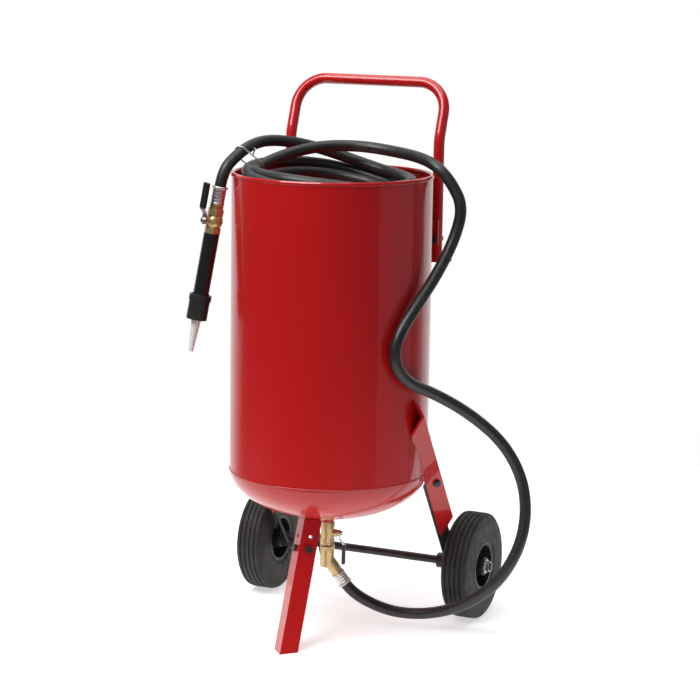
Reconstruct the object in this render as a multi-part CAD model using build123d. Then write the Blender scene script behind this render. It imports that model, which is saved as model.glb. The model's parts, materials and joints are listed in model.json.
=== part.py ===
"""Portable abrasive blast pot: hopper-top pressure vessel on two wheels and a front leg,
with tow handle, air manifold, media valve, blast hose and blast gun.

Frame: +Z up, the floor is z = 0, the front leg points to -Y and the axle runs along X. The
origin is on the floor in the middle of the machine's footprint. Below, every piece is drawn
about the vessel's axis, and keep() puts it in that frame. Millimetres.
"""
from build123d import *
from math import cos, pi, radians, sin, sqrt, tan
import os

# ---------------------------------------------------------------- driving dimensions
TANK_RADIUS = 190.0          # outside of the vessel
WALL = 3.0
RIM_Z = 887.0                # top of the hopper rim
SEAM_Z = 318.0               # shell to bottom head weld
DISH_DEPTH = 92.0            # 2:1 elliptical bottom head
HOPPER_DEPTH = 50.0          # rim to the edge of the dished top head
HEAD_DIP = 30.0              # how far the top head dips to the filling port

ANGLE_LEG = 35.0             # angle iron of the three legs
ANGLE_WALL = 4.0
FRONT_FOOT = 202.0           # heel of the front leg on the floor, in front of the axis
FRONT_LEAN = 0.416           # the front leg comes in by this much per unit of height
REAR_APEX_X = 212.0          # heel of a rear leg beside the shell, at REAR_REF_Z
REAR_APEX_Y = 15.0
REAR_REF_Z = 375.0
REAR_LEAN = 0.72             # the rear legs run back by this much per unit of drop
REAR_TOE = 0.02              # and in by this much
REAR_TOP_Y = -36.0           # upright cut at the top of the rear legs
REAR_END_Y = 130.0           # and at their lower end
LEFT_TOP_Y = 8.0             # the left rear leg is cut off lower than the right one

WHEEL_RADIUS = 105.0
WHEEL_WIDTH = 54.0
WHEEL_X = 224.0              # centre of each wheel
AXLE_Y = 198.0
AXLE_RADIUS = 8.0
AXLE_END = 266.0
HUB_RADIUS = 48.0
RUNNING = 0.06               # radial clearance of a running fit

HANDLE_RADIUS = 10.5
HANDLE_X = 157.0
HANDLE_Y = 140.0
HANDLE_FOOT_Z = 712.0
HANDLE_BEND_Z = 945.0
HANDLE_TOP_Y = 179.0
HANDLE_TOP_Z = 1051.0

PIPE_R = 8.5                 # outside of the pipe threads
COUPLING_R = 12.0            # couplings welded into the vessel
BORE_R = 6.0                 # waterway
VALVE_LENGTH = 46.0
BALL_R = 9.0
STEM_R = 3.0
STEM_TURN = 20.0             # the media valve's stem points this far round from +X
MEDIA_VALVE_Z = 188.0
MIXER_Z = 138.0
OUTLET_TURN = 25.0           # the hose leaves the mixer in this direction, steeply down
OUTLET_DROP = 1.4
AIR_PORT_TURN = 125.0        # the air line comes in from the back

MANIFOLD_Y = 226.0
MANIFOLD_Z = 672.0
AIR_LINE_R = 6.0

HOSE_RADIUS = 11.0
COIL_INNER = 120.0
COIL_OUTER = 172.0
COIL_LOW = 835.0
COIL_TOP = 901.0

GUN_TOP = Vector(-177.7, -114.7, 860.0)   # where the hose enters the gun's ferrule
GUN_TIP = Vector(-226.0, -139.6, 547.3)   # end of the ceramic nozzle
GUN_STEM_TURN = 245.0                     # the gun valve's stem points in this direction

# Hose route, from the mixer's ferrule to the coil in the hopper.
LOWER_ROUTE = [
    (105, 46, 35),
    (160, 68, 28),
    (222, 74, 42),
    (282, 62, 74),
    (334, 62, 120),
    (364, 82, 180),
    (370, 104, 245),
    (356, 112, 315),
    (322, 96, 382),
    (272, 56, 438),
    (222, 2, 482),
    (190, -78, 517),
    (178, -104, 560),
    (182, -96, 604),
    (200, -56, 655),
    (214, 10, 710),
    (230, 52, 772),
    (241, 61, 831),
    (216, 62, 875),
    (187, 60, 904),
    (141, 87, 916),
    (70, 124, 921),
    (0, 123, 928),
    (-61, 84, 928),
    (-102, 28, 917),
    (-126, -30, 901),
]
# Hose route, from the coil over the rim to the gun.
UPPER_ROUTE = [
    (26, 148, 884),
    (-36, 146, 901),
    (-81, 118, 919),
    (-120, 76, 933),
    (-149, 24, 939),
    (-158, -29, 933),
    (-161, -78, 918),
]
COIL_ENTRY = (-131, -74, 889)

VESSEL_Y = -(AXLE_Y + WHEEL_RADIUS - FRONT_FOOT) / 2   # the vessel's axis in the part's frame

os.makedirs("parts", exist_ok=True)
nodes = {}


def keep(name, shape):
    """Record a node: one shape, or several separate solids of the same kind."""
    shapes = shape if isinstance(shape, (list, tuple)) else [shape]
    solids = [Pos(0, VESSEL_Y, 0) * solid for item in shapes for solid in item.solids()]
    nodes[name] = solids[0] if len(solids) == 1 else Compound(children=solids)


def turned(points):
    """A solid of revolution about Z from a closed outline of (radius, z) points."""
    wire = Polyline([(r, 0, z) for r, z in points], close=True)
    return revolve(make_face(wire), Axis.Z)


def rod(radius, start, end):
    """A round bar between two points."""
    line = Vector(end) - Vector(start)
    plane = Plane(origin=start, z_dir=line)
    return plane * Cylinder(radius, line.length, align=(Align.CENTER, Align.CENTER, Align.MIN))


def pipe(outer, inner, start, end):
    """A round tube between two points."""
    line = (Vector(end) - Vector(start)).normalized()
    return rod(outer, start, end) - rod(inner, Vector(start) - line, Vector(end) + line)


def hex_bar(across_flats, start, end):
    """A hexagonal bar between two points."""
    line = Vector(end) - Vector(start)
    plane = Plane(origin=start, z_dir=line)
    return plane * extrude(RegularPolygon(across_flats / sqrt(3), 6), line.length)


def hex_nut(across_flats, start, end):
    """A hexagonal bar between two points with its corners turned off, for bolt heads and nuts."""
    line = Vector(end) - Vector(start)
    corner = across_flats / sqrt(3)
    face = 0.6 * across_flats / 2 + 0.4 * corner
    limit = corner + 0.5
    rise = (limit - face) * 0.58
    length = line.length
    bar = extrude(RegularPolygon(corner, 6), length)
    return Plane(origin=start, z_dir=line) * (bar & turned([
        (0, 0), (face, 0), (limit, rise), (limit, length - rise), (face, length), (0, length)]))


def mirrored(shape):
    """The same piece on the other side of the machine."""
    return mirror(shape, Plane.YZ)


def swept(radius, path, inner=0.0):
    """A round section along a path."""
    plane = Plane(origin=path @ 0, z_dir=path % 0)
    section = Circle(radius)
    if inner:
        section -= Circle(inner)
    return sweep(plane * section, path=path, transition=Transition.ROUND)


def corner_radii(route, share=0.45):
    """The largest smooth arc at each corner of a route of straight runs."""
    radii = []
    for before, here, after in zip(route, route[1:], route[2:]):
        run_in = Vector(here) - Vector(before)
        run_out = Vector(after) - Vector(here)
        turn = radians(run_in.get_angle(run_out))
        radii.append(share * min(run_in.length, run_out.length) / tan(turn / 2))
    return radii


def hose_tube(name, route, radius):
    """A hose along straight runs joined by tangent arcs; prints its radii and its volume test."""
    radii = corner_radii(route)
    path = FilletPolyline(*route, radius=radii)
    tube = swept(radius, path)
    ideal = pi * radius ** 2 * path.length
    print(name, "length", round(path.length), "radii", [round(value) for value in radii],
          "volume ratio", round(tube.volume / ideal, 4))
    return tube, path


# ---------------------------------------------------------------- vessel
def ellipsoid(clearance=0.0):
    """The outside of the bottom head as a solid, with the shell above it."""
    size = TANK_RADIUS + clearance
    with BuildPart() as body:
        with BuildSketch(Plane.XZ):
            with BuildLine():
                Polyline((0, SEAM_Z - DISH_DEPTH - clearance), (0, RIM_Z), (size, RIM_Z), (size, SEAM_Z))
                EllipticalCenterArc((0, SEAM_Z), size, DISH_DEPTH + clearance, start_angle=270, arc_size=90)
            make_face()
        revolve(axis=Axis.Z)
    return body.part


def vessel():
    lip = 2.5
    shell = turned([
        (TANK_RADIUS - WALL, SEAM_Z), (TANK_RADIUS, SEAM_Z), (TANK_RADIUS, RIM_Z - 7),
        (TANK_RADIUS + 1.5, RIM_Z - 6), (TANK_RADIUS + 1.5, RIM_Z - lip), (TANK_RADIUS, RIM_Z),
        (TANK_RADIUS - 4, RIM_Z), (TANK_RADIUS - 5.5, RIM_Z - lip), (TANK_RADIUS - 5.5, RIM_Z - 6),
        (TANK_RADIUS - WALL, RIM_Z - 7),
    ])
    bung_hole = rod(COUPLING_R, (0, 170, MANIFOLD_Z), (0, 215, MANIFOLD_Z))
    keep("tank_shell", shell - bung_hole)

    inside = TANK_RADIUS - WALL - 0.1
    with BuildPart() as head:
        with BuildSketch(Plane.XZ):
            with BuildLine():
                EllipticalCenterArc((0, SEAM_Z), TANK_RADIUS, DISH_DEPTH, start_angle=270, arc_size=90)
                Polyline((TANK_RADIUS, SEAM_Z), (inside, SEAM_Z), (inside, SEAM_Z + 14),
                         (inside - WALL, SEAM_Z + 14), (inside - WALL, SEAM_Z))
                EllipticalCenterArc((0, SEAM_Z), inside - WALL, DISH_DEPTH - WALL, start_angle=270, arc_size=90)
                Line((0, SEAM_Z - DISH_DEPTH), (0, SEAM_Z - DISH_DEPTH + WALL))
            make_face()
        revolve(axis=Axis.Z)
    keep("bottom_head", head.part - rod(COUPLING_R, (0, 0, 200), (0, 0, 260)))

    edge_z = RIM_Z - HOPPER_DEPTH
    port = 30.0
    upper = [(inside, edge_z), (inside * 0.72, edge_z - HEAD_DIP * 0.42), (port, edge_z - HEAD_DIP)]
    with BuildPart() as top:
        with BuildSketch(Plane.XZ):
            with BuildLine():
                ThreePointArc(*upper)
                Line(upper[2], (port, upper[2][1] - WALL))
                ThreePointArc(*[(r, z - WALL) for r, z in reversed(upper)])
                Line((inside, edge_z - WALL), upper[0])
            make_face()
        revolve(axis=Axis.Z)
    keep("top_head", top.part)
    filling_port(edge_z - HEAD_DIP, port)


def filling_port(head_z, port):
    """Filling port of the hopper with its rubber seat and the pop-up cone that air pressure lifts."""
    seat = 22.0
    keep("filling_ring", turned([
        (port - 5, head_z - 14), (port, head_z - 14), (port, head_z + 2), (seat, head_z + 2),
        (seat, head_z - 6), (port - 3.5, head_z - 6), (port - 3.5, head_z - 12), (port - 5, head_z - 12),
    ]))
    keep("filling_seal", turned([
        (seat - 4, head_z - 11), (port - 5, head_z - 12), (port - 3.5, head_z - 12),
        (port - 3.5, head_z - 6), (seat - 4, head_z - 6),
    ]))
    guide_z = head_z - 64
    bars = Box(2 * port, 10, 4)
    hangers = [Pos(side * (port - 2), 0, 24) * Box(4, 10, 44) for side in (-1, 1)]
    sleeve = Cylinder(9, 20)
    guide = Pos(0, 0, guide_z) * (bars + hangers[0] + hangers[1] + sleeve)
    guide = guide - rod(5 + RUNNING, (0, 0, guide_z - 30), (0, 0, guide_z + 30))
    keep("cone_guide", guide)
    rest = guide_z + 10.3
    keep("pop_up_cone", turned([
        (0, rest - 34), (5, rest - 34), (5, rest), (9, rest), (9, rest + 4), (26, rest + 8),
        (26, rest + 10), (0, rest + 28),
    ]))


# ---------------------------------------------------------------- legs
def angle_section(width, wall, inset=0.0):
    """Angle-iron section with its heel at the origin, both legs running to -X."""
    reach = width / sqrt(2)
    skin = wall * sqrt(2)
    wire = Polyline([
        (-inset, 0), (-inset - reach, reach), (-inset - reach - wall / sqrt(2), reach - wall / sqrt(2)),
        (-inset - skin, 0), (-inset - reach - wall / sqrt(2), wall / sqrt(2) - reach),
        (-inset - reach, -reach),
    ], close=True)
    return make_face(wire)


def leg_frame(heel, heel_low, outward):
    """Frame with +Z up along a leg's heel line and +X pointing outward."""
    along = (Vector(heel) - Vector(heel_low)).normalized()
    x_dir = Vector(outward) - along * Vector(outward).dot(along)
    return Plane(origin=heel_low, x_dir=x_dir, z_dir=along)


def bolt_set(frame, side, height, across, grip, size=4.0):
    """Hex bolt and nut through one leg of an angle iron, in the leg's frame."""
    flat = Vector(-1, side, 0).normalized()
    normal = Vector(1, side, 0).normalized()
    middle = flat * across + Vector(0, 0, height)
    bolt = rod(size, middle - normal * (grip + 8), middle)
    bolt += hex_nut(13, middle, middle + normal * 5.3)
    nut = hex_nut(13, middle - normal * (grip + 6.5), middle - normal * grip)
    return frame * bolt, frame * (nut - rod(size, middle - normal * (grip + 8), middle))


def bolt_hole(frame, side, height, across, size=4.0):
    flat = Vector(-1, side, 0).normalized()
    normal = Vector(1, side, 0).normalized()
    middle = flat * across + Vector(0, 0, height)
    return frame * rod(size, middle - normal * 20, middle + normal * 10)


def front_leg():
    top_z = 262.0
    frame = leg_frame((0, -FRONT_FOOT + FRONT_LEAN * top_z, top_z), (0, -FRONT_FOOT, 0), (0, -1, 0))
    rise = sqrt(1 + FRONT_LEAN ** 2)
    bolt_height = 188 * rise
    spare_height = 210 * rise
    outer = frame * extrude(angle_section(ANGLE_LEG, ANGLE_WALL), 262 * rise)
    outer -= ellipsoid(1.0)
    outer -= Pos(0, 0, -50) * Box(900, 900, 100)
    inner = frame * Pos(0, 0, 160 * rise) * extrude(
        angle_section(ANGLE_LEG - 5, ANGLE_WALL, ANGLE_WALL * sqrt(2)), 130 * rise)
    inner -= ellipsoid()
    bolts, nuts = [], []
    across = 19.0
    for side in (-1, 1):
        for height in (bolt_height, spare_height):
            hole = bolt_hole(frame, side, height, across)
            outer -= hole
            inner -= hole
        bolt, nut = bolt_set(frame, side, bolt_height, across, 2 * ANGLE_WALL)
        bolts.append(bolt)
        nuts.append(nut)
    keep("front_leg", outer)
    keep("front_leg_bracket", inner)
    return bolts, nuts


def rear_legs():
    low_z = 150.0

    def heel(z):
        drop = REAR_REF_Z - z
        return (REAR_APEX_X - REAR_TOE * drop, REAR_APEX_Y + REAR_LEAN * drop, z)

    frame = leg_frame(heel(460), heel(low_z), (1, 0, 0))
    stretch = sqrt(1 + REAR_TOE ** 2 + REAR_LEAN ** 2)
    leg = frame * extrude(angle_section(ANGLE_LEG, ANGLE_WALL), (460 - low_z) * stretch)
    leg -= ellipsoid()
    leg -= Pos(0, REAR_TOP_Y - 200, 400) * Box(900, 400, 900)
    leg -= Pos(0, REAR_END_Y + 200, 300) * Box(900, 400, 900)
    # black strap behind the front leg of the angle, down to the sleeve that holds the axle
    flat = Vector(-1, -1, 0).normalized()
    inward = Vector(-1, 1, 0).normalized()
    strap_width, strap_wall = 34.0, 5.0
    start = flat * (ANGLE_LEG + 4 - strap_width) + inward * ANGLE_WALL
    strap_face = make_face(Polyline([
        tuple(start), tuple(start + flat * strap_width),
        tuple(start + flat * strap_width + inward * strap_wall), tuple(start + inward * strap_wall),
    ], close=True))
    below = (low_z - 88) * stretch
    strap = frame * Pos(0, 0, -below) * extrude(strap_face, below + (314 - low_z) * stretch)
    strap -= ellipsoid(2.0)
    sleeve_start, sleeve_end = 152.0, 193.0
    sleeve = rod(15, (sleeve_start, AXLE_Y, WHEEL_RADIUS), (sleeve_end, AXLE_Y, WHEEL_RADIUS))
    strap -= Pos(sleeve_end + 50, AXLE_Y, 130) * Box(100, 170, 170)
    strap -= Pos(0, 0, 40) * Box(900, 900, 90)
    carrier = strap + sleeve
    carrier -= rod(AXLE_RADIUS, (120, AXLE_Y, WHEEL_RADIUS), (240, AXLE_Y, WHEEL_RADIUS))
    height, across = (303 - low_z) * stretch, 13.0
    hole = bolt_hole(frame, -1, height, across)
    leg -= hole
    carrier -= hole
    bolt, nut = bolt_set(frame, -1, height, across, ANGLE_WALL + strap_wall)
    left_leg = mirrored(leg) - Pos(0, LEFT_TOP_Y - 200, 400) * Box(900, 400, 900)
    keep("rear_legs", [leg, left_leg])
    keep("axle_carriers", [carrier, mirrored(carrier)])
    return [bolt, mirrored(bolt)], [nut, mirrored(nut)]


# ---------------------------------------------------------------- wheels
def wheels():
    centre = Pos(0, AXLE_Y, WHEEL_RADIUS)
    half = WHEEL_WIDTH / 2
    axle = centre * Rot(0, 90, 0) * Cylinder(AXLE_RADIUS, 2 * AXLE_END)
    keep("axle", axle)
    groove = [(WHEEL_RADIUS - 0.0, -1.6), (WHEEL_RADIUS - 2.5, -1.0), (WHEEL_RADIUS - 2.5, 1.0),
              (WHEEL_RADIUS - 0.0, 1.6)]
    outline = [(HUB_RADIUS, -half + 3), (HUB_RADIUS + 8, -half), (WHEEL_RADIUS - 22, -half),
               (WHEEL_RADIUS - 6, -half + 1.5), (WHEEL_RADIUS - 1.5, -half + 5)]
    for middle in (-15, -5, 5, 15):
        outline += [(r, z + middle) for r, z in groove]
    outline += [(r, -z) for r, z in reversed(outline[:5])]
    tyre = turned(outline)
    hub = turned([
        (11, -half), (18, -half), (18, -5), (HUB_RADIUS - 7, -5), (HUB_RADIUS - 7, -half + 2),
        (HUB_RADIUS, -half + 2), (HUB_RADIUS, half - 2), (HUB_RADIUS - 7, half - 2),
        (HUB_RADIUS - 7, 3), (18, 3), (18, half), (11, half),
    ])
    for number in range(5):
        hub += Rot(0, 0, 72 * number) * Pos(29.5, 0, -1) * Box(26, 5, 16)
    bush = turned([
        (AXLE_RADIUS + RUNNING, -half - 1), (11, -half - 1), (11, half + 1),
        (AXLE_RADIUS + RUNNING, half + 1),
    ])
    washers, nuts = [], []
    for side, name in ((1, "right"), (-1, "left")):
        place = Pos(side * WHEEL_X, AXLE_Y, WHEEL_RADIUS) * Rot(0, 90 * side, 0)
        keep("tyre_" + name, place * tyre)
        keep("hub_" + name, place * hub)
        keep("wheel_bush_" + name, place * bush)
        for x in (WHEEL_X - half - 1.3 - 2.5, WHEEL_X + half + 1.3):
            washers.append(pipe(14, AXLE_RADIUS, (side * x, AXLE_Y, WHEEL_RADIUS),
                                (side * (x + 2.5), AXLE_Y, WHEEL_RADIUS)))
        start = WHEEL_X + half + 3.8
        nut = hex_nut(20, (side * start, AXLE_Y, WHEEL_RADIUS),
                      (side * (start + 8), AXLE_Y, WHEEL_RADIUS))
        nuts.append(nut - rod(AXLE_RADIUS, (side * 200, AXLE_Y, WHEEL_RADIUS),
                              (side * 300, AXLE_Y, WHEEL_RADIUS)))
    keep("axle_washers", washers)
    keep("axle_nuts", nuts)


# ---------------------------------------------------------------- handle
def tow_handle():
    route = [(-HANDLE_X, HANDLE_Y, HANDLE_FOOT_Z), (-HANDLE_X, HANDLE_Y, HANDLE_BEND_Z),
             (-HANDLE_X, HANDLE_TOP_Y, HANDLE_TOP_Z), (HANDLE_X, HANDLE_TOP_Y, HANDLE_TOP_Z),
             (HANDLE_X, HANDLE_Y, HANDLE_BEND_Z), (HANDLE_X, HANDLE_Y, HANDLE_FOOT_Z)]
    path = FilletPolyline(*route, radius=[70, 58, 58, 70])
    bar = swept(HANDLE_RADIUS, path, HANDLE_RADIUS - 1.6)
    plates, bolts, nuts = [], [], []
    bolt_z = 756.0
    plate_wall = 4.0
    plate_y = HANDLE_Y - HANDLE_RADIUS - plate_wall / 2
    for side in (-1, 1):
        plate = Pos(side * 148, plate_y, 770) * Box(34, plate_wall, 50)
        plate -= Pos(0, 0, 600) * Cylinder(TANK_RADIUS, 1000)
        front = (side * HANDLE_X, plate_y - plate_wall / 2, bolt_z)
        back = (side * HANDLE_X, HANDLE_Y + HANDLE_RADIUS + 8, bolt_z)
        hole = rod(4, (side * HANDLE_X, plate_y - 10, bolt_z), back)
        plates.append(plate - hole)
        bar -= hole
        head = hex_nut(13, (front[0], front[1] - 5.3, bolt_z), front)
        bolts.append(rod(4, front, back) + head)
        nut_start = (front[0], HANDLE_Y + HANDLE_RADIUS + 0.05, bolt_z)
        nut_end = (front[0], HANDLE_Y + HANDLE_RADIUS + 6.5, bolt_z)
        nuts.append(hex_nut(13, nut_start, nut_end) - rod(4, front, back))
    keep("tow_handle", bar)
    keep("handle_brackets", plates)
    return bolts, nuts


# ---------------------------------------------------------------- ball valves
def ball_valve(place, prefix, lever_reach, seats, hex_flats=25.0, belly=12.5):
    """Ball valve: flow along local Z, stem along local +X, lever along local +Z."""
    half = VALVE_LENGTH / 2
    body = Cylinder(12.5, VALVE_LENGTH - 10)
    if belly > 12.5:
        body += Sphere(belly)
    body += hex_bar(hex_flats, (0, 0, -half), (0, 0, -half + 12))
    body += hex_bar(hex_flats, (0, 0, half - 12), (0, 0, half))
    body += rod(7.5, (0, 0, 0), (19, 0, 0))
    body -= Cylinder(BORE_R, VALVE_LENGTH + 2)
    body -= Cylinder(9.4, 18.8)
    for end in (-1, 1):
        body -= Pos(0, 0, end * (half - 4.5)) * Cylinder(PIPE_R, 9)
    body -= rod(STEM_R + RUNNING, (0, 0, 0), (25, 0, 0))
    keep(prefix + "_body", place * body)
    ring = Cylinder(9.4, 18.8) - Cylinder(9.5, 12.4) - Cylinder(BORE_R, 20)
    ring -= Sphere(BALL_R + 0.05)
    seats.append(place * ring)
    ball = Sphere(BALL_R) - Cylinder(BORE_R, 30)
    ball += rod(STEM_R, (BORE_R + 2, 0, 0), (29.5, 0, 0))
    keep(prefix + "_ball", place * ball)
    nut = hex_nut(11, (19, 0, 0), (22.5, 0, 0)) - rod(STEM_R + RUNNING, (15, 0, 0), (30, 0, 0))
    lever_wall = 2.2
    start = 22.8
    lever = Pos(start + lever_wall / 2, 0, 0) * Rot(0, 90, 0) * Cylinder(7.5, lever_wall)
    lever += Pos(start + lever_wall / 2, 0, 6.5) * Box(lever_wall, 12, 13)
    step = 8.0
    bend = Polyline([(start, 0, 12), (start + lever_wall, 0, 12), (start + lever_wall + step, 0, 20.5),
                     (start + lever_wall + step, 0, lever_reach), (start + step, 0, lever_reach),
                     (start + step, 0, 21.5)], close=True)
    lever += Pos(0, 6, 0) * extrude(make_face(bend), 12, dir=(0, -1, 0))
    lever -= rod(STEM_R, (start - 2, 0, 0), (start + 8, 0, 0))
    grip_start = 22.0
    grip = Pos(start + step + lever_wall / 2, 0, (grip_start + lever_reach + 3) / 2) * fillet(
        Box(7.2, 15, lever_reach + 3 - grip_start).edges(), 2.4)
    slot = Pos(start + step + lever_wall / 2, 0, (grip_start + lever_reach) / 2) * Box(
        lever_wall, 12, lever_reach - grip_start)
    keep(prefix + "_lever_sleeve", place * (grip - slot))
    top_nut = hex_nut(8, (start + lever_wall, 0, 0), (start + lever_wall + 4, 0, 0))
    top_nut -= rod(STEM_R, (start, 0, 0), (start + 10, 0, 0))
    keep(prefix + "_lever", [place * lever, place * top_nut])
    return place * nut


def outward(turn, reach, z, drop=0.0):
    """A point at a radius and height in a compass direction about the vessel's axis."""
    return Vector(reach * cos(radians(turn)), reach * sin(radians(turn)), z - drop)


def media_line(seats, packing_nuts, nipples, couplings):
    """Media valve under the vessel and the mixer where abrasive meets the air."""
    place = Pos(0, 0, MEDIA_VALVE_Z) * Rot(0, 0, STEM_TURN) * Rot(180, 0, 0)
    packing_nuts.append(ball_valve(place, "media_valve", 58.0, seats, 24.0))
    top = MEDIA_VALVE_Z + VALVE_LENGTH / 2
    bottom = MEDIA_VALVE_Z - VALVE_LENGTH / 2
    nipples.append(pipe(PIPE_R, BORE_R, (0, 0, top - 9), (0, 0, top + 20)))
    couplings.append(pipe(COUPLING_R, PIPE_R, (0, 0, top), (0, 0, top + 24)))
    nipples.append(pipe(PIPE_R, BORE_R, (0, 0, bottom - 12), (0, 0, bottom + 9)))
    slope = (Vector(cos(radians(OUTLET_TURN)), sin(radians(OUTLET_TURN)), -OUTLET_DROP)).normalized()
    middle = Vector(0, 0, MIXER_Z)
    air_port = outward(AIR_PORT_TURN, 30, MIXER_Z + 6)
    air_mid = outward(AIR_PORT_TURN, 0, MIXER_Z + 6)
    mixer = rod(13.5, (0, 0, MIXER_Z - 16), (0, 0, bottom - 9)) + hex_bar(28, (0, 0, bottom - 10), (0, 0, bottom - 2))
    mixer += rod(12, middle - slope * 3, middle + slope * 26)
    mixer += rod(11, air_mid, air_port)
    mixer -= rod(BORE_R, (0, 0, MIXER_Z - 7), (0, 0, bottom + 2))
    mixer -= rod(PIPE_R, (0, 0, bottom - 12), (0, 0, bottom + 1))
    mixer -= rod(BORE_R - 0.1, middle - slope, middle + slope * 27)
    mixer -= rod(PIPE_R, middle + slope * 18, middle + slope * 27)
    mixer -= rod(4, air_mid, outward(AIR_PORT_TURN, 31, MIXER_Z + 6))
    keep("mixing_tee", mixer)
    stem = rod(PIPE_R, middle + slope * 18, middle + slope * 27)
    stem += hex_bar(22, middle + slope * 26, middle + slope * 36)
    stem += rod(6.5, middle + slope * 35, middle + slope * 60)
    stem -= rod(4.5, middle + slope * 10, middle + slope * 70)
    ferrule = rod(12.5, middle + slope * 36, middle + slope * 62)
    ferrule -= rod(6.5, middle + slope * 30, middle + slope * 60)
    ferrule -= rod(4.5, middle + slope * 30, middle + slope * 70)
    return middle + slope * 62, slope, stem, ferrule


# ---------------------------------------------------------------- air manifold
def air_manifold(seats, packing_nuts, nipples, couplings):
    y, z = MANIFOLD_Y, MANIFOLD_Z
    couplings.append(pipe(COUPLING_R, PIPE_R, (0, 182, z), (0, 206, z)))
    nipples.append(pipe(PIPE_R, BORE_R, (0, 196, z), (0, 212, z)))
    cross = Pos(0, y, z) * Sphere(14)
    ends = {"inlet": (24, 0, 0), "relief": (-24, 0, 0), "gauge": (0, 0, 22), "line": (0, 0, -22),
            "tank": (0, -20, 0)}
    for end in ends.values():
        cross += rod(12, (0, y, z), Vector(0, y, z) + Vector(end))
    for end in ends.values():
        cross -= rod(5, (0, y, z), Vector(0, y, z) + Vector(end) * 1.05)
        cross -= rod(PIPE_R, Vector(0, y, z) + Vector(end) * 0.7, Vector(0, y, z) + Vector(end) * 1.01)
    keep("air_cross", cross)
    middle_x = 24 + 3 + VALVE_LENGTH / 2
    place = Pos(middle_x, y, z) * Location(Plane(origin=(0, 0, 0), x_dir=(0, 0, 1), z_dir=(1, 0, 0)))
    packing_nuts.append(ball_valve(place, "air_valve", 98.0, seats, 25.0))
    nipples.append(pipe(PIPE_R, BORE_R, (16.8, y, z), (24 + 12, y, z)))
    plug_start = middle_x + VALVE_LENGTH / 2
    plug = rod(PIPE_R, (plug_start - 9, y, z), (plug_start, y, z))
    plug += hex_bar(19, (plug_start, y, z), (plug_start + 8, y, z))
    plug += rod(5.8, (plug_start + 8, y, z), (plug_start + 34, y, z))
    plug += rod(7.2, (plug_start + 20, y, z), (plug_start + 25, y, z))
    plug -= rod(3.6, (plug_start - 12, y, z), (plug_start + 36, y, z))
    keep("inlet_plug", plug)
    relief = rod(PIPE_R, (-16.8, y, z), (-24, y, z)) + hex_bar(17, (-24, y, z), (-32, y, z))
    relief += rod(7.5, (-32, y, z), (-54, y, z))
    relief -= rod(3, (-10, y, z), (-46, y, z)) + rod(1.5 + 0.05, (-10, y, z), (-60, y, z))
    keep("relief_valve_body", relief)
    pull = rod(1.5, (-36, y, z), (-60, y, z)) + rod(2.8, (-36, y, z), (-40, y, z))
    ring = Pos(-68.2, y, z) * Torus(9, 1.2)
    keep("relief_pull_ring", pull + ring)
    gauge_z = z + 22 + 34
    stem = rod(PIPE_R, (0, y, z + 15.4), (0, y, z + 22)) + hex_bar(14, (0, y, z + 22), (0, y, z + 31))
    case = rod(26, (0, y - 11, gauge_z), (0, y + 11, gauge_z))
    case += rod(5, (0, y, z + 30), (0, y, gauge_z))
    case -= rod(23, (0, y - 8, gauge_z), (0, y + 12, gauge_z))
    keep("gauge_case", stem + case)
    keep("gauge_dial", rod(22.8, (0, y - 8, gauge_z), (0, y - 6.5, gauge_z))
         - rod(1.2, (0, y - 9, gauge_z), (0, y, gauge_z)))
    needle = Pos(0, y - 4.5, gauge_z) * Rot(0, 135, 0) * (Pos(0, 0, 6) * Box(1.4, 0.8, 22))
    needle += rod(2.4, (0, y - 5.2, gauge_z), (0, y - 3.8, gauge_z))
    needle += rod(1.1, (0, y - 8, gauge_z), (0, y - 4, gauge_z))
    keep("gauge_needle", needle)
    keep("gauge_lens", rod(22.9, (0, y + 7.5, gauge_z), (0, y + 9.5, gauge_z)))
    air_line(y, z)


def air_line(y, z):
    """Small air hose that runs down the back of the vessel to the mixer, with its two fittings."""
    low = outward(AIR_PORT_TURN, 30, MIXER_Z + 6)
    low_end = outward(AIR_PORT_TURN, 52, MIXER_Z + 6)
    line = [low_end, outward(AIR_PORT_TURN, 96, MIXER_Z + 6), outward(AIR_PORT_TURN, 160, 176),
            outward(AIR_PORT_TURN + 1, 205, 270), outward(AIR_PORT_TURN - 2, 207, 400),
            (-92, 192, 490), (-34, 215, 545), (0, y, 580), (0, y, z - 40)]
    route = [tuple(Vector(point)) for point in line]
    keep("air_line", hose_tube("air line", route, AIR_LINE_R)[0])
    upper = hex_bar(17, (0, y, z - 30), (0, y, z - 22)) + rod(8.2, (0, y, z - 40), (0, y, z - 30))
    upper += rod(PIPE_R, (0, y, z - 22), (0, y, z - 15.4))
    upper -= rod(4, (0, y, z - 41), (0, y, z - 10))
    along = (low_end - low).normalized()
    lower = hex_bar(17, low, low + along * 9) + rod(8.2, low + along * 9, low_end)
    lower -= rod(4, low - along, low_end + along)
    keep("air_line_fittings", [upper, lower])


# ---------------------------------------------------------------- hose and gun
def blast_hose(start, slope):
    lower = [tuple(start), tuple(start + slope * 26)] + LOWER_ROUTE + [COIL_ENTRY]
    axis = (GUN_TIP - GUN_TOP).normalized()
    upper = UPPER_ROUTE + [tuple(GUN_TOP - axis * 32), tuple(GUN_TOP)]
    lower_tube, lower_path = hose_tube("lower hose", lower, HOSE_RADIUS)
    upper_tube, upper_path = hose_tube("gun hose", upper, HOSE_RADIUS)
    keep("blast_hose", [lower_tube, upper_tube])
    keep("hose_tie", wire_tie(upper_path, lower_path))
    width = COIL_OUTER - COIL_INNER
    height = COIL_TOP - COIL_LOW
    profile = Pos((COIL_OUTER + COIL_INNER) / 2, (COIL_TOP + COIL_LOW) / 2) * RectangleRounded(
        width, height, HOSE_RADIUS)
    keep("hose_coil", revolve(Plane.XZ * profile, Axis.Z))
    return axis


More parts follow.
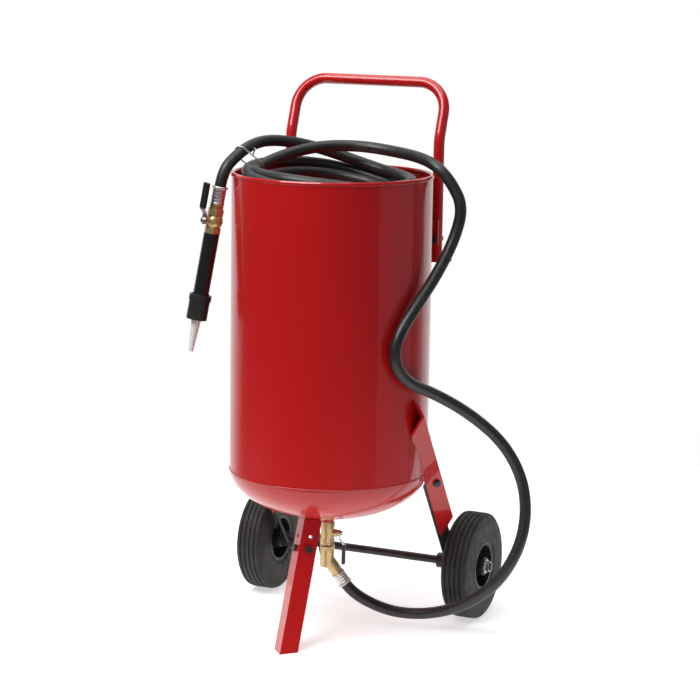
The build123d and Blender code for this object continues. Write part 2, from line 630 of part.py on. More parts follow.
def wire_tie(upper_path, lower_path):
    """Wire loop that ties the gun's strand to the strand that dips into the hopper."""
    wire_r = 1.0
    first, second = upper_path @ 0.80, lower_path @ 0.985
    across = second - first
    along = (upper_path % 0.80) + (lower_path % 0.985)
    along = along - across * (along.dot(across) / across.dot(across))
    plane = Plane(origin=(first + second) * 0.5, x_dir=across, z_dir=along)
    loop = (plane * SlotCenterToCenter(across.length, 2 * (HOSE_RADIUS + 2.6))).face().outer_wire()
    section = Plane(origin=loop @ 0, z_dir=loop % 0) * Circle(wire_r)
    return sweep(section, path=loop)


def blast_gun(axis, seats, packing_nuts):
    """Gun on the end of the hose: ferrule, stem, ball valve, grip tube, nozzle holder, nozzle."""
    def at(distance):
        return GUN_TOP + axis * distance

    ferrule = rod(12.5, at(0), at(34)) + rod(14, at(0), at(4)) - rod(6.5, at(1), at(36)) - rod(4.5, at(-1), at(2))
    stem = rod(6.5, at(1), at(34)) + hex_bar(25, at(34), at(43)) + rod(PIPE_R, at(43), at(52))
    stem -= rod(4.5, at(0), at(53))
    middle = at(43 + VALVE_LENGTH / 2)
    side = Vector(cos(radians(GUN_STEM_TURN)), sin(radians(GUN_STEM_TURN)), 0)
    side = side - axis * side.dot(axis)
    place = Location(Plane(origin=middle, x_dir=side, z_dir=-axis))
    packing_nuts.append(ball_valve(place, "gun_valve", 68.0, seats, 28.0, 16.5))
    start = 43 + VALVE_LENGTH
    tube = pipe(15, 8, at(start), at(start + 122)) + pipe(PIPE_R, BORE_R, at(start - 9), at(start + 4))
    tube -= rod(BORE_R, at(start - 10), at(start + 130))
    keep("gun_tube", tube)
    nose = start + 116
    holder = rod(16, at(nose), at(nose + 3)) + rod(21, at(nose + 3), at(nose + 14))
    holder += rod(19.5, at(nose + 14), at(nose + 50))
    holder -= rod(15, at(nose - 1), at(nose + 10)) + rod(9.2, at(nose), at(nose + 51))
    keep("nozzle_holder", holder)
    keep("nozzle_washer", pipe(9.2, 5, at(nose + 10), at(nose + 13)))
    tip = (GUN_TIP - GUN_TOP).length
    base = nose + 13
    with BuildPart() as cone:
        with BuildSketch(Plane.XZ):
            with BuildLine():
                Polyline((3, 0), (9.2, 0), (9.2, nose + 50 - base), (4.6, tip - base), (3, tip - base), (3, 0))
            make_face()
        revolve(axis=Axis.Z)
    keep("ceramic_nozzle", Location(Plane(origin=at(base), z_dir=axis)) * cone.part)
    return stem, ferrule


vessel()
front_bolts, front_nuts = front_leg()
rear_bolts, rear_nuts = rear_legs()
wheels()
handle_bolts, handle_nuts = tow_handle()
keep("frame_bolts", front_bolts + rear_bolts + handle_bolts)
keep("frame_nuts", front_nuts + rear_nuts + handle_nuts)

valve_seats, stem_nuts, pipe_nipples, pipe_couplings = [], [], [], []
hose_start, hose_slope, lower_stem, lower_ferrule = media_line(
    valve_seats, stem_nuts, pipe_nipples, pipe_couplings)
air_manifold(valve_seats, stem_nuts, pipe_nipples, pipe_couplings)
gun_axis = blast_hose(hose_start, hose_slope)
gun_stem, gun_ferrule = blast_gun(gun_axis, valve_seats, stem_nuts)
keep("valve_seats", valve_seats)
keep("stem_nuts", stem_nuts)
keep("pipe_nipples", pipe_nipples)
keep("pipe_couplings", pipe_couplings)
keep("hose_stems", [lower_stem, gun_stem])
keep("hose_ferrules", [lower_ferrule, gun_ferrule])

for name, shape in nodes.items():
    export_step(shape, "parts/" + name + ".step")
print(len(nodes), "nodes")
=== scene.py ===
"""Looks of the portable abrasive blast pot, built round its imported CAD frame. Metres, +Z up."""
import json
from math import cos, pi, radians, sin, sqrt

import bmesh
import bpy
from mathutils import Matrix, Vector, noise


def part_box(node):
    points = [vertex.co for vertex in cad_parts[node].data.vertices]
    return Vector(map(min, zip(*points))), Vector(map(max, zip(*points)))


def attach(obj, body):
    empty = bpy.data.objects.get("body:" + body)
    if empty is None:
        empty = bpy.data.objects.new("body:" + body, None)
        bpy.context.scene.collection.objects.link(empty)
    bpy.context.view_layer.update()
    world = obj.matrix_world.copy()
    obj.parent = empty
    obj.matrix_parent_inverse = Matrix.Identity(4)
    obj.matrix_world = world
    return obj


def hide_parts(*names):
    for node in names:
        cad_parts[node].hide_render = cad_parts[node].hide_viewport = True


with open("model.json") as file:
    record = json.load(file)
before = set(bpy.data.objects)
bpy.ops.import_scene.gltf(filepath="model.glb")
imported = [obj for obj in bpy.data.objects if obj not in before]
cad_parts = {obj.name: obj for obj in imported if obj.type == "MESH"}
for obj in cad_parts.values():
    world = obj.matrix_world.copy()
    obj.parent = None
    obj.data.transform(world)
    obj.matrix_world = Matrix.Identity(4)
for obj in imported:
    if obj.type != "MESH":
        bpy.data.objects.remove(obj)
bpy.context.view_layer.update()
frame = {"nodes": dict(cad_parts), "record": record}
nodes = frame["nodes"]
scene = bpy.context.scene

VESSEL_Y = -0.0505           # the vessel's axis in the part's frame
VESSEL = "vessel"            # body that everything fixed rides on
TANK_RADIUS = 0.190
SEAM_Z = 0.318
DISH_DEPTH = 0.092
HOSE_DIAMETER = 0.022
MIXER_Z = 0.138
OUTLET_TURN = radians(25)    # compass direction of the mixer's outlet
OUTLET_DROP = 1.4            # how far it falls for each metre out
OUTLET_REACH = 0.062         # from the mixer's middle to where the hose starts
OUTLET_FERRULE = 0.026
GUN_FERRULE = 0.034
GUN_STRAIGHT = 0.032         # straight hose above the gun
PIPE_RADIUS = 0.0125         # couplings welded to the vessel
LATHE_STEPS = 96
COIL_STEP = 24.0             # degrees between control points of the loose turns
COIL_WANDER = 0.0015
WIRE_RADIUS = 0.0007
DIAL_RADIUS = 0.0208         # outer end of the dial's marks
CAMERA_PLACE = (1.7756, -3.8142, 1.3021)
CAMERA_LENS = 114.04         # mm, on a 36 mm sensor
LIGHT_TARGET = Vector((0, 0, 0.5))
FLOOR_X = 1.1
FLOOR_FRONT, FLOOR_BACK = -0.95, 1.6


def on_axis(x, y, z):
    """A point given about the vessel's axis."""
    return Vector((x, y + VESSEL_Y, z))


GUN_TOP = on_axis(-0.1777, -0.1147, 0.860)
GUN_TIP = on_axis(-0.2260, -0.1396, 0.5473)
GUN_AXIS = (GUN_TIP - GUN_TOP).normalized()
HOSE_SLOPE = Vector((cos(OUTLET_TURN), sin(OUTLET_TURN), -OUTLET_DROP)).normalized()
HOSE_START = on_axis(0, 0, MIXER_Z) + HOSE_SLOPE * OUTLET_REACH


# ---------------------------------------------------------------- camera
def set_camera():
    """The view from the front right, a little above the rim."""
    azimuth, pitch, roll = radians(24.734), radians(10.271), radians(0.913)
    forward = Vector((-sin(azimuth) * cos(pitch), cos(azimuth) * cos(pitch), -sin(pitch)))
    level = Vector((cos(azimuth), sin(azimuth), 0))
    upright = level.cross(forward)
    right = level * cos(roll) + upright * sin(roll)
    up = upright * cos(roll) - level * sin(roll)
    data = bpy.data.cameras.new("camera")
    data.lens = CAMERA_LENS
    data.sensor_width = 36
    data.clip_end = 60
    camera = bpy.data.objects.new("camera", data)
    scene.collection.objects.link(camera)
    turn = Matrix((right, up, -forward)).transposed().to_4x4()
    camera.matrix_world = Matrix.Translation(CAMERA_PLACE) @ turn
    scene.camera = camera


set_camera()


# ---------------------------------------------------------------- materials
def surface(name, colour, second, rough, patch=9.0, metal=0.0, coat=0.0, coat_rough=0.05, specular=0.5,
            grain=0.0, grain_scale=400.0, waves=0.0, waves_scale=30.0, edge=0.0, edge_colour=None,
            cells=0.0, cell_scale=300.0, dust=None):
    """A finish with broad colour and gloss patches, fine grain in its relief, and softened, worn edges."""
    material = bpy.data.materials.new(name)
    material.use_nodes = True
    tree = material.node_tree
    shader = tree.nodes["Principled BSDF"]
    shader.inputs["Metallic"].default_value = metal
    shader.inputs["Coat Weight"].default_value = coat
    shader.inputs["Coat Roughness"].default_value = coat_rough
    shader.inputs["Specular IOR Level"].default_value = specular
    place = tree.nodes.new("ShaderNodeTexCoord").outputs["Object"]

    def noise_at(scale, detail=3.0, roughness=0.55):
        texture = tree.nodes.new("ShaderNodeTexNoise")
        texture.inputs["Scale"].default_value = scale
        texture.inputs["Detail"].default_value = detail
        texture.inputs["Roughness"].default_value = roughness
        tree.links.new(place, texture.inputs["Vector"])
        return texture.outputs["Fac"]

    def spread(value, low, high, to_low, to_high):
        remap = tree.nodes.new("ShaderNodeMapRange")
        for key, number in (("From Min", low), ("From Max", high), ("To Min", to_low), ("To Max", to_high)):
            remap.inputs[key].default_value = number
        tree.links.new(value, remap.inputs["Value"])
        return remap.outputs["Result"]

    def mixed(factor, first, other):
        mix = tree.nodes.new("ShaderNodeMix")
        mix.data_type = "RGBA"
        tree.links.new(factor, mix.inputs["Factor"])
        for socket, value in ((mix.inputs[6], first), (mix.inputs[7], other)):
            if isinstance(value, tuple):
                socket.default_value = (*value, 1)
            else:
                tree.links.new(value, socket)
        return mix.outputs[2]

    broad = noise_at(patch, 4.0)
    paint = mixed(spread(broad, 0.36, 0.64, 0, 1), colour, second)
    if dust:
        speck = spread(noise_at(patch * 6, 5.0, 0.7), 0.52, 0.72, 0, 0.5)
        paint = mixed(speck, paint, dust)
    tree.links.new(spread(noise_at(patch * 2.3, 4.0), 0.3, 0.7, *rough), shader.inputs["Roughness"])
    rounded = tree.nodes.new("ShaderNodeBevel")
    rounded.samples = 4
    rounded.inputs["Radius"].default_value = edge or 0.0004
    if edge_colour:
        geometry = tree.nodes.new("ShaderNodeNewGeometry")
        turn = tree.nodes.new("ShaderNodeVectorMath")
        turn.operation = "DOT_PRODUCT"
        tree.links.new(rounded.outputs["Normal"], turn.inputs[0])
        tree.links.new(geometry.outputs["Normal"], turn.inputs[1])
        worn = spread(turn.outputs["Value"], 0.96, 0.74, 0, 1)
        patchy = spread(noise_at(140.0, 4.0), 0.45, 0.62, 0, 0.75)
        gate = tree.nodes.new("ShaderNodeMath")
        gate.operation = "MULTIPLY"
        tree.links.new(worn, gate.inputs[0])
        tree.links.new(patchy, gate.inputs[1])
        paint = mixed(gate.outputs["Value"], paint, edge_colour)
    tree.links.new(paint, shader.inputs["Base Color"])
    normal = rounded.outputs["Normal"]
    reliefs = []
    if grain:
        reliefs.append((noise_at(grain_scale, 2.0), grain))
    if waves:
        reliefs.append((noise_at(waves_scale, 1.0), waves))
    if cells:
        cell = tree.nodes.new("ShaderNodeTexVoronoi")
        cell.inputs["Scale"].default_value = cell_scale
        tree.links.new(place, cell.inputs["Vector"])
        reliefs.append((cell.outputs["Distance"], cells))
    for height, depth in reliefs:
        bump = tree.nodes.new("ShaderNodeBump")
        bump.inputs["Strength"].default_value = 1.0
        bump.inputs["Distance"].default_value = depth
        tree.links.new(height, bump.inputs["Height"])
        tree.links.new(normal, bump.inputs["Normal"])
        normal = bump.outputs["Normal"]
    tree.links.new(normal, shader.inputs["Normal"])
    if coat:
        tree.links.new(normal, shader.inputs["Coat Normal"])
    return material


MATERIALS = {
    "red_paint": surface("red_paint", (0.520, 0.0050, 0.0062), (0.500, 0.0046, 0.0058), (0.36, 0.40), patch=3,
                         coat=0.85, coat_rough=0.035, specular=0.25, grain=0.000006, grain_scale=150,
                         edge=0.0008, edge_colour=(0.50, 0.030, 0.032)),
    "black_steel": surface("black_steel", (0.022, 0.021, 0.021), (0.035, 0.032, 0.030), (0.32, 0.52), patch=30,
                           grain=0.00005, grain_scale=700, edge=0.0008, edge_colour=(0.16, 0.15, 0.14)),
    "zinc_steel": surface("zinc_steel", (0.60, 0.60, 0.58), (0.46, 0.46, 0.45), (0.26, 0.44), patch=60, metal=1.0,
                          cells=0.00003, cell_scale=500, edge=0.0006, edge_colour=(0.75, 0.75, 0.73)),
    "brass": surface("brass", (0.72, 0.54, 0.27), (0.57, 0.42, 0.20), (0.30, 0.42), patch=45, metal=0.78,
                     grain=0.00005, grain_scale=900, edge=0.0007, edge_colour=(0.90, 0.78, 0.52),
                     dust=(0.42, 0.32, 0.19)),
    "chrome": surface("chrome", (0.78, 0.78, 0.80), (0.66, 0.66, 0.68), (0.07, 0.16), patch=40, metal=1.0,
                      grain=0.00001, grain_scale=600, edge=0.0006),
    "hose_rubber": surface("hose_rubber", (0.012, 0.012, 0.0125), (0.020, 0.020, 0.020), (0.34, 0.48), patch=22,
                           specular=0.55, grain=0.00010, grain_scale=1100, waves=0.0004, waves_scale=70,
                           dust=(0.045, 0.044, 0.042)),
    "tyre_rubber": surface("tyre_rubber", (0.014, 0.014, 0.013), (0.022, 0.021, 0.019), (0.55, 0.75), patch=26,
                           grain=0.00018, grain_scale=900, edge=0.0012, edge_colour=(0.075, 0.071, 0.066),
                           dust=(0.060, 0.056, 0.050)),
    "hub_plastic": surface("hub_plastic", (0.010, 0.010, 0.010), (0.016, 0.016, 0.016), (0.42, 0.58), patch=34,
                           grain=0.00009, grain_scale=1000, edge=0.0008, edge_colour=(0.07, 0.07, 0.07)),
    "bush_nylon": surface("bush_nylon", (0.70, 0.68, 0.62), (0.60, 0.58, 0.52), (0.4, 0.55), patch=60,
                          grain=0.00006, grain_scale=800, edge=0.0005),
    "seat_plastic": surface("seat_plastic", (0.86, 0.86, 0.84), (0.78, 0.78, 0.76), (0.35, 0.5), patch=80,
                            grain=0.00003, grain_scale=900, edge=0.0004),
    "seal_rubber": surface("seal_rubber", (0.022, 0.022, 0.022), (0.035, 0.034, 0.033), (0.5, 0.7), patch=40,
                           grain=0.0001, grain_scale=900, edge=0.0008, dust=(0.09, 0.085, 0.08)),
    "sleeve_vinyl": surface("sleeve_vinyl", (0.010, 0.010, 0.011), (0.016, 0.016, 0.017), (0.24, 0.36), patch=50,
                            specular=0.6, grain=0.00006, grain_scale=500, waves=0.0003, waves_scale=90,
                            edge=0.0015),
    "grip_black": surface("grip_black", (0.008, 0.008, 0.009), (0.011, 0.011, 0.012), (0.26, 0.34), patch=30,
                          coat=0.6, coat_rough=0.08, grain=0.00001, grain_scale=400, edge=0.0008,
                          edge_colour=(0.06, 0.06, 0.06)),
    "ceramic": surface("ceramic", (0.88, 0.85, 0.82), (0.80, 0.76, 0.73), (0.30, 0.45), patch=40,
                       grain=0.00004, grain_scale=900, edge=0.0008),
    "gauge_face": surface("gauge_face", (0.88, 0.88, 0.85), (0.84, 0.84, 0.80), (0.4, 0.55), patch=50,
                          grain=0.00001, grain_scale=900, edge=0.0003),
    "ferrule_steel": surface("ferrule_steel", (0.80, 0.79, 0.76), (0.68, 0.67, 0.64), (0.36, 0.48), patch=55,
                             metal=1.0, grain=0.00008, grain_scale=700, edge=0.0006,
                             edge_colour=(0.82, 0.81, 0.78)),
}


def glass():
    """Clear cover of the gauge."""
    material = bpy.data.materials.new("gauge_glass")
    material.use_nodes = True
    shader = material.node_tree.nodes["Principled BSDF"]
    shader.inputs["Base Color"].default_value = (0.95, 0.98, 0.97, 1)
    shader.inputs["Transmission Weight"].default_value = 1.0
    shader.inputs["Roughness"].default_value = 0.03
    shader.inputs["IOR"].default_value = 1.2
    return material


MATERIALS["gauge_glass"] = glass()


def smooth(obj, angle=35):
    """Smooth shading with edges sharper than the angle kept."""
    for face in obj.data.polygons:
        face.use_smooth = True
    obj.data.set_sharp_from_angle(angle=radians(angle))


for part in frame["record"]["subparts"]:
    node = nodes[part["node"]]
    node.data.materials.clear()
    node.data.materials.append(MATERIALS[part["material_slot"]])


def new_piece(name, mesh, slot, body=VESSEL, angle=35):
    """A mesh piece in the row frame, with a finish, riding on a body."""
    obj = bpy.data.objects.new(name, mesh)
    scene.collection.objects.link(obj)
    mesh.materials.append(MATERIALS[slot])
    smooth(obj, angle)
    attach(obj, body)
    return obj


def mesh_of(name, build):
    """A mesh from a function that fills a bmesh."""
    shape = bmesh.new()
    build(shape)
    bmesh.ops.recalc_face_normals(shape, faces=shape.faces)
    mesh = bpy.data.meshes.new(name)
    shape.to_mesh(mesh)
    shape.free()
    return mesh


def along(point, direction):
    """Frame at a point with local Z along a direction."""
    return Matrix.Translation(point) @ direction.to_track_quat("Z", "Y").to_matrix().to_4x4()


def lathe(shape, profile, place, ripple):
    """Turns a closed outline of (radius, z) points about local Z; the ripple is added to its radius."""
    rings = []
    for step in range(LATHE_STEPS):
        turn = 2 * pi * step / LATHE_STEPS
        ring = []
        for radius, z in profile:
            reach = radius + ripple(turn, radius, z)
            point = Vector((reach * cos(turn), reach * sin(turn), z))
            ring.append(shape.verts.new(place @ point))
        rings.append(ring)
    count = len(profile)
    for step in range(LATHE_STEPS):
        here, after = rings[step], rings[(step + 1) % LATHE_STEPS]
        for row in range(count):
            shape.faces.new((here[row], after[row], after[(row + 1) % count], here[(row + 1) % count]))


def tube(shape, points, radius, sides=10, closed=False, taper=None):
    """A round tube through points, with its ends closed."""
    count = len(points)
    rings = []
    normal = None
    for number, point in enumerate(points):
        before = points[number - 1] if number or closed else point
        after = points[(number + 1) % count] if number < count - 1 or closed else point
        direction = (after - before).normalized()
        if normal is None:
            normal = direction.orthogonal().normalized()
        normal = (normal - direction * normal.dot(direction)).normalized()
        side = direction.cross(normal)
        size = radius * (taper(number) if taper else 1)
        rings.append([shape.verts.new(point + (normal * cos(2 * pi * k / sides)
                                              + side * sin(2 * pi * k / sides)) * size)
                      for k in range(sides)])
    for number in range(count if closed else count - 1):
        here, after = rings[number], rings[(number + 1) % count]
        for k in range(sides):
            shape.faces.new((here[k], here[(k + 1) % sides], after[(k + 1) % sides], after[k]))
    if not closed:
        shape.faces.new(list(reversed(rings[0])))
        shape.faces.new(rings[-1])


# ---------------------------------------------------------------- blast hose
LOWER_ROUTE = [
    (0.105, 0.046, 0.035), (0.160, 0.068, 0.028), (0.222, 0.074, 0.042), (0.282, 0.062, 0.074),
    (0.334, 0.062, 0.120), (0.364, 0.082, 0.180), (0.370, 0.104, 0.245), (0.356, 0.112, 0.315),
    (0.322, 0.096, 0.382), (0.272, 0.056, 0.438), (0.222, 0.002, 0.482), (0.190, -0.078, 0.517),
    (0.178, -0.104, 0.560), (0.182, -0.096, 0.604), (0.200, -0.056, 0.655), (0.214, 0.010, 0.710),
    (0.230, 0.052, 0.772), (0.241, 0.061, 0.831), (0.216, 0.062, 0.875), (0.187, 0.060, 0.904),
    (0.141, 0.087, 0.916), (0.070, 0.124, 0.921), (0.000, 0.123, 0.928), (-0.061, 0.084, 0.928),
    (-0.102, 0.028, 0.917), (-0.126, -0.030, 0.901),
]
UPPER_ROUTE = [
    (0.026, 0.148, 0.884), (-0.036, 0.146, 0.901), (-0.081, 0.118, 0.919), (-0.120, 0.076, 0.933),
    (-0.149, 0.024, 0.939), (-0.158, -0.029, 0.933), (-0.161, -0.078, 0.918),
]
# Loose turns in the hopper: compass direction, radius and height where each stretch ends.
COIL_STAGES = [
    (209.5, 0.150, 0.889), (260, 0.146, 0.885), (300, 0.140, 0.876), (340, 0.136, 0.858),
    (380, 0.133, 0.847), (430, 0.133, 0.852), (460, 0.134, 0.866), (500, 0.134, 0.876),
    (560, 0.134, 0.872), (600, 0.136, 0.862), (640, 0.145, 0.850), (700, 0.156, 0.848),
    (780, 0.160, 0.851), (800, 0.160, 0.860), (820, 0.160, 0.878), (850, 0.160, 0.893),
    (900, 0.160, 0.895), (960, 0.168, 0.878), (1000, 0.166, 0.868), (1050, 0.160, 0.871),
    (1100, 0.150, 0.872), (1135, 0.150, 0.874), (1160, 0.150, 0.884),
]


def coil_points():
    """Points of the loose turns, between the strand that dips in and the gun's strand."""
    points = []
    angle = COIL_STAGES[0][0]
    stage = 0
    while angle < COIL_STAGES[-1][0] - COIL_STEP / 2:
        while angle > COIL_STAGES[stage + 1][0]:
            stage += 1
        (a0, r0, z0), (a1, r1, z1) = COIL_STAGES[stage], COIL_STAGES[stage + 1]
        share = (angle - a0) / (a1 - a0)
        radius = r0 + (r1 - r0) * share + COIL_WANDER * sin(radians(angle * 1.7))
        turn = radians(angle)
        points.append((radius * cos(turn), radius * sin(turn), z0 + (z1 - z0) * share))
        angle += COIL_STEP
    return points


def nurbs(name, points, radius):
    """One open smooth spline with a round section."""
    data = bpy.data.curves.new(name, "CURVE")
    data.dimensions = "3D"
    spline = data.splines.new("NURBS")
    spline.points.add(len(points) - 1)
    for control, point in zip(spline.points, points):
        control.co = (*point, 1)
    spline.order_u = 3
    spline.use_endpoint_u = True
    spline.resolution_u = 12
    data.bevel_depth = radius
    data.bevel_resolution = 9
    data.use_fill_caps = True
    obj = bpy.data.objects.new(name, data)
    scene.collection.objects.link(obj)
    return obj


def centreline(curve_obj):
    """The spline's own line as points, without its section."""
    copy = curve_obj.copy()
    copy.data = curve_obj.data.copy()
    copy.data.bevel_depth = 0
    scene.collection.objects.link(copy)
    bpy.context.view_layer.update()
    mesh = bpy.data.meshes.new_from_object(copy.evaluated_get(bpy.context.evaluated_depsgraph_get()))
    line = [vertex.co.copy() for vertex in mesh.vertices]
    bpy.data.objects.remove(copy)
    bpy.data.meshes.remove(mesh)
    return line


hose_points = [HOSE_START, HOSE_START + HOSE_SLOPE * OUTLET_FERRULE]
hose_points += [on_axis(*point) for point in LOWER_ROUTE]
hose_points += [on_axis(*point) for point in coil_points()]
hose_points += [on_axis(*point) for point in UPPER_ROUTE]
hose_points += [GUN_TOP - GUN_AXIS * GUN_STRAIGHT, GUN_TOP]
hose = nurbs("hose", hose_points, HOSE_DIAMETER / 2)
hose.data.materials.append(MATERIALS["hose_rubber"])
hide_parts("blast_hose", "hose_coil")
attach(hose, VESSEL)
hose_line = centreline(hose)


# ---------------------------------------------------------------- hose fittings
def crimped(length, flare):
    """Outline and ripple of a crimped ferrule, from its flared hose end."""
    outline = [(0.0113, -0.0004), (flare - 0.0012, -0.0004), (flare, 0.0008), (flare, 0.0030),
               (flare - 0.0010, 0.0040), (0.0127, 0.0046)]
    z = 0.0060
    while z < length - 0.0062:
        outline += [(0.0128, z), (0.0130, z + 0.0008), (0.0130, z + 0.0030), (0.0128, z + 0.0038),
                    (0.01262, z + 0.0045), (0.01262, z + 0.0052)]
        z += 0.0060
    outline += [(0.0129, length - 0.0035), (0.0134, length - 0.0028), (0.0134, length - 0.0008),
                (0.0126, length), (0.0066, length), (0.0066, length - 0.001), (0.0110, length - 0.001)]

    def squeeze(turn, radius, z):
        return -0.00022 * max(0.0, cos(turn * 8)) if 0.006 < z < length - 0.004 and radius > 0.012 else 0.0
    return outline, squeeze


def build_ferrules(shape):
    """One ferrule where the hose meets the gun, one where it meets the mixer."""
    for length, flare, place in ((GUN_FERRULE, 0.0150, along(GUN_TOP, GUN_AXIS)),
                                 (OUTLET_FERRULE, 0.0142, along(HOSE_START, -HOSE_SLOPE))):
        outline, squeeze = crimped(length, flare)
        lathe(shape, outline, place, squeeze)


ferrules = new_piece("ferrules", mesh_of("ferrules", build_ferrules), "ferrule_steel")
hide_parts("hose_ferrules")


def nearest(points, target):
    """The point closest to a target."""
    return min(points, key=lambda point: (point - target).length)


def build_tie(shape):
    """Galvanised wire wound twice round the two strands and twisted shut."""
    low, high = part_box("hose_tie")
    middle = (low + high) / 2
    strands = [point for point in hose_line if point.z > 0.87 and (point - middle).length < 0.09]
    first_index = hose_line.index(nearest(strands, Vector((low.x, middle.y, middle.z))))
    second_index = hose_line.index(nearest(strands, Vector((high.x, middle.y, middle.z))))
    first, second = hose_line[first_index], hose_line[second_index]
    across = second - first
    run = (hose_line[first_index + 1] - hose_line[first_index - 1]).normalized()
    other = (hose_line[second_index + 1] - hose_line[second_index - 1]).normalized()
    if run.dot(other) < 0:
        other = -other
    run = (run + other).normalized()
    run = (run - across * (run.dot(across) / across.length_squared)).normalized()
    rise = across.normalized().cross(run)
    if rise.z < 0:
        rise = -rise
    reach = HOSE_DIAMETER / 2 + 0.0011
    half = across.length / 2
    centre = (first + second) / 2
    side = across.normalized()
    path = []
    turns, steps = 2, 36
    for step in range(turns * steps + 1):
        turn = 2 * pi * step / steps + pi / 2
        lean = (step / (turns * steps) - 0.5) * 0.005
        offset = side * (reach * cos(turn) + (half if cos(turn) > 0 else -half)) + rise * reach * sin(turn)
        path.append(centre + offset + run * lean)
    tube(shape, path, WIRE_RADIUS, 8)
    for strand in (0, 1):
        tail = []
        for step in range(26):
            share = step / 25
            turn = share * 5 * 2 * pi + strand * pi
            wide = 0.0009 if share < 0.9 else 0.0009 + (share - 0.9) * 0.02
            stem = centre + rise * (reach + 0.0005 + 0.016 * share) - side * (0.004 * share)
            tail.append(stem + (side * cos(turn) + run * sin(turn)) * wide)
        tube(shape, tail, WIRE_RADIUS, 8)


tie = new_piece("tie_wire", mesh_of("tie_wire", build_tie), "zinc_steel", angle=60)
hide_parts("hose_tie")


# ---------------------------------------------------------------- welds and dial marks
def bead_ring(shape, radius, z, size, pitch, place=None):
    """A weld bead laid round a circle about local Z, with its ripples."""
    place = place or Matrix.Translation((0, VESSEL_Y, 0))
    steps = max(24, int(2 * pi * radius / (pitch / 3)))
    points = []
    for step in range(steps):
        turn = 2 * pi * step / steps
        points.append(place @ Vector((radius * cos(turn), radius * sin(turn), z)))
    tube(shape, points, size, 8, closed=True, taper=lambda step: 0.84 + 0.16 * sin(2 * pi * step / 3)
         + 0.12 * noise.noise(Vector((step * 0.11, radius * 50, z))))


def bead_run(shape, start, end, size, pitch):
    """A straight weld bead with its ripples."""
    steps = max(6, int((end - start).length / (pitch / 3)))
    points = [start.lerp(end, step / steps) for step in range(steps + 1)]
    tube(shape, points, size, 8, taper=lambda step: 0.84 + 0.16 * sin(2 * pi * step / 3)
         + 0.12 * noise.noise(Vector((step * 0.11, start.x * 40, start.z * 9))))


def build_welds(shape):
    """Beads round the bottom seam and both couplings, and down the handle's brackets."""
    bead_ring(shape, TANK_RADIUS - 0.0004, SEAM_Z, 0.0021, 0.0034)
    coupling_z = SEAM_Z - DISH_DEPTH * sqrt(1 - (PIPE_RADIUS / TANK_RADIUS) ** 2)
    bead_ring(shape, PIPE_RADIUS, coupling_z, 0.0022, 0.0030)
    back = Matrix.Translation(on_axis(0, 0.1905, 0.672)) @ Matrix.Rotation(pi / 2, 4, "X")
    bead_ring(shape, PIPE_RADIUS, 0, 0.0022, 0.0030, back)
    low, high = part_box("handle_brackets")
    for side in (-1, 1):
        for y in (low.y, high.y):
            depth = y - VESSEL_Y
            x = sqrt(TANK_RADIUS ** 2 - depth ** 2) * side
            bead_run(shape, Vector((x, y, low.z + 0.002)), Vector((x, y, high.z - 0.002)), 0.0019, 0.0030)


new_piece("welds", mesh_of("welds", build_welds), "red_paint", angle=60)


def build_dial_marks(shape):
    """Plain marks round the gauge's dial, every fifth one longer; there are no figures."""
    low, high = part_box("gauge_dial")
    centre = Vector(((low.x + high.x) / 2, high.y + 0.00012, (low.z + high.z) / 2))
    for step in range(51):
        turn = radians(225 - 270 * step / 50)
        reach = 0.0026 if step % 5 else 0.0046
        width = 0.00018 if step % 5 else 0.00036
        outward = Vector((cos(turn), 0, sin(turn)))
        across = Vector((-sin(turn), 0, cos(turn))) * width
        outer = centre + outward * DIAL_RADIUS
        inner = centre + outward * (DIAL_RADIUS - reach)
        corners = [outer + across, outer - across, inner - across, inner + across]
        front = [shape.verts.new(corner + Vector((0, 0.00006, 0))) for corner in corners]
        behind = [shape.verts.new(corner - Vector((0, 0.0002, 0))) for corner in corners]
        shape.faces.new(front)
        shape.faces.new(list(reversed(behind)))
        for k in range(4):
            shape.faces.new((front[k], front[(k + 1) % 4], behind[(k + 1) % 4], behind[k]))


new_piece("dial_marks", mesh_of("dial_marks", build_dial_marks), "black_steel", angle=20)


# ---------------------------------------------------------------- floor and light
def set_floor():
    """A plain white floor that lightens itself a little, so that it meets the backdrop without an edge."""
    mesh = bpy.data.meshes.new("floor")
    corners = [(-FLOOR_X, FLOOR_FRONT, 0), (FLOOR_X, FLOOR_FRONT, 0),
               (FLOOR_X, FLOOR_BACK, 0), (-FLOOR_X, FLOOR_BACK, 0)]
    mesh.from_pydata(corners, [], [(0, 1, 2, 3)])
    floor = bpy.data.objects.new("floor", mesh)
    scene.collection.objects.link(floor)
    material = bpy.data.materials.new("floor")
    material.use_nodes = True
    shader = material.node_tree.nodes["Principled BSDF"]
    shader.inputs["Base Color"].default_value = (0.85, 0.85, 0.85, 1)
    shader.inputs["Emission Color"].default_value = (1, 1, 1, 1)
    shader.inputs["Emission Strength"].default_value = 0.55
    shader.inputs["Roughness"].default_value = 0.9
    shader.inputs["Specular IOR Level"].default_value = 0.1
    mesh.materials.append(material)


def area_light(name, azimuth, elevation, distance, size, power, colour=(1, 1, 1)):
    """A soft panel that looks at the machine from a compass direction; azimuth 0 is in front of it."""
    data = bpy.data.lights.new(name, "AREA")
    data.shape = "RECTANGLE"
    data.size, data.size_y = size
    data.energy = power
    data.color = colour
    light = bpy.data.objects.new(name, data)
    scene.collection.objects.link(light)
    turn, rise = radians(azimuth), radians(elevation)
    away = Vector((sin(turn) * cos(rise), -cos(turn) * cos(rise), sin(rise)))
    light.location = LIGHT_TARGET + away * distance
    light.rotation_euler = (-away).to_track_quat("-Z", "Y").to_euler()


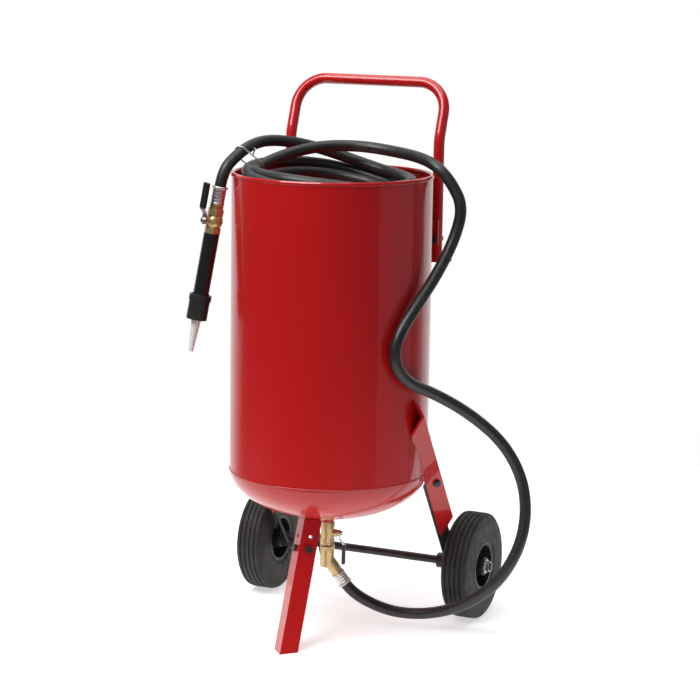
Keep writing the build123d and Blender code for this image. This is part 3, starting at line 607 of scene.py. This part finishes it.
def set_world():
    """White to the camera; as light, dim in front and bright behind, as in a studio with a white backdrop."""
    world = bpy.data.worlds.new("studio")
    scene.world = world
    world.use_nodes = True
    tree = world.node_tree
    tree.nodes.clear()
    out = tree.nodes.new("ShaderNodeOutputWorld")
    white = tree.nodes.new("ShaderNodeBackground")
    room = tree.nodes.new("ShaderNodeBackground")
    white.inputs["Color"].default_value = (1, 1, 1, 1)
    white.inputs["Strength"].default_value = 1.0
    where = tree.nodes.new("ShaderNodeTexCoord")
    facing = tree.nodes.new("ShaderNodeVectorMath")
    facing.operation = "DOT_PRODUCT"
    backwards = Vector((-sin(radians(25)), cos(radians(25)), 0.15)).normalized()
    facing.inputs[1].default_value = backwards
    tree.links.new(where.outputs["Generated"], facing.inputs[0])
    ramp = tree.nodes.new("ShaderNodeValToRGB")
    ramp.color_ramp.elements[0].position = 0.72
    ramp.color_ramp.elements[0].color = (0.075, 0.075, 0.08, 1)
    ramp.color_ramp.elements[1].position = 0.88
    ramp.color_ramp.elements[1].color = (0.95, 0.95, 0.95, 1)
    shift = tree.nodes.new("ShaderNodeMapRange")
    shift.inputs["From Min"].default_value = -1
    shift.inputs["From Max"].default_value = 1
    tree.links.new(facing.outputs["Value"], shift.inputs["Value"])
    tree.links.new(shift.outputs["Result"], ramp.inputs["Fac"])
    tree.links.new(ramp.outputs["Color"], room.inputs["Color"])
    path = tree.nodes.new("ShaderNodeLightPath")
    mix = tree.nodes.new("ShaderNodeMixShader")
    tree.links.new(path.outputs["Is Camera Ray"], mix.inputs["Fac"])
    tree.links.new(room.outputs["Background"], mix.inputs[1])
    tree.links.new(white.outputs["Background"], mix.inputs[2])
    tree.links.new(mix.outputs["Shader"], out.inputs["Surface"])


set_floor()
set_world()
area_light("key", -22, 50, 3.4, (2.0, 1.6), 96)
area_light("overhead", 0, 88, 3.2, (3.0, 3.0), 60)
area_light("side", 102, 8, 2.6, (2.4, 2.6), 5, (0.88, 0.84, 1.0))
scene.view_settings.view_transform = "Standard"
scene.view_settings.look = "None"
